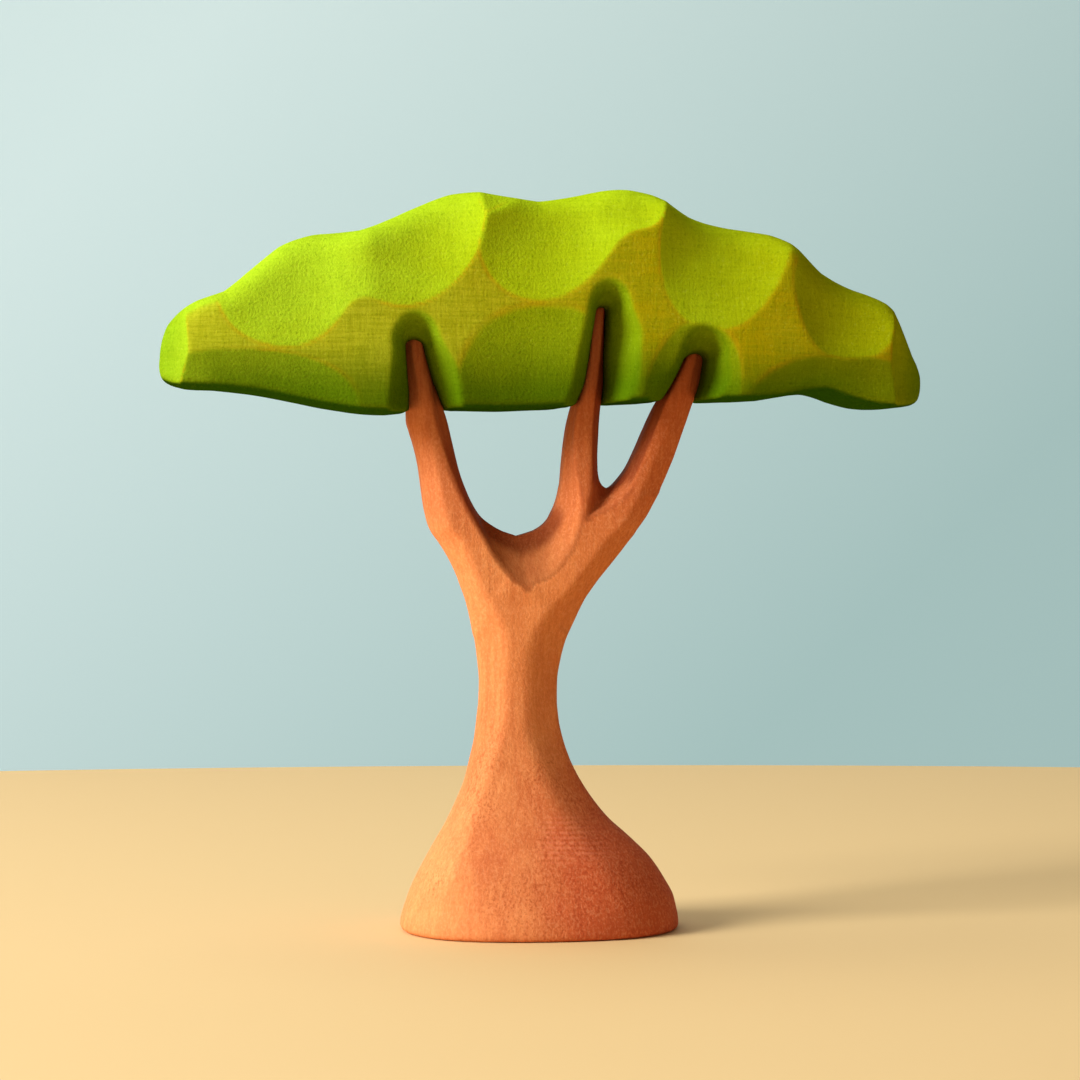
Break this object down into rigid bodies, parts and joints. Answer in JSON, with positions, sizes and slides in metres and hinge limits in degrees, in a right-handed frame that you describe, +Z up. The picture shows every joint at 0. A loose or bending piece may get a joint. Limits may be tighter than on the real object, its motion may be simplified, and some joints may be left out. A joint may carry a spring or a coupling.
{
  "type": "hand-carved wooden toy acacia tree",
  "caption": "Small carved wooden acacia tree: a forked trunk on a flared foot holds up a wide, wavy green crown. It stands on its own.",
  "frame": {"origin": "centre of the foot's flat underside, on the ground", "axes": "+Z up the tree, +X along the wide crown to the right as seen from the front, -Y out of the front face"},
  "size_m": [0.1835, 0.0498, 0.1763],
  "materials": {
    "stained_trunk": "carved and sanded wood under a thin orange-brown stain, grain showing, matt",
    "painted_crown": "carved wood under a thin green wash, ochre on the flat ridges, matt"
  },
  "bodies": {
    "root": {"trunk": "stained_trunk", "left_bough": "stained_trunk", "right_limb": "stained_trunk", "middle_bough": "stained_trunk", "right_bough": "stained_trunk", "crown": "painted_crown"}
  },
  "joints": []
}
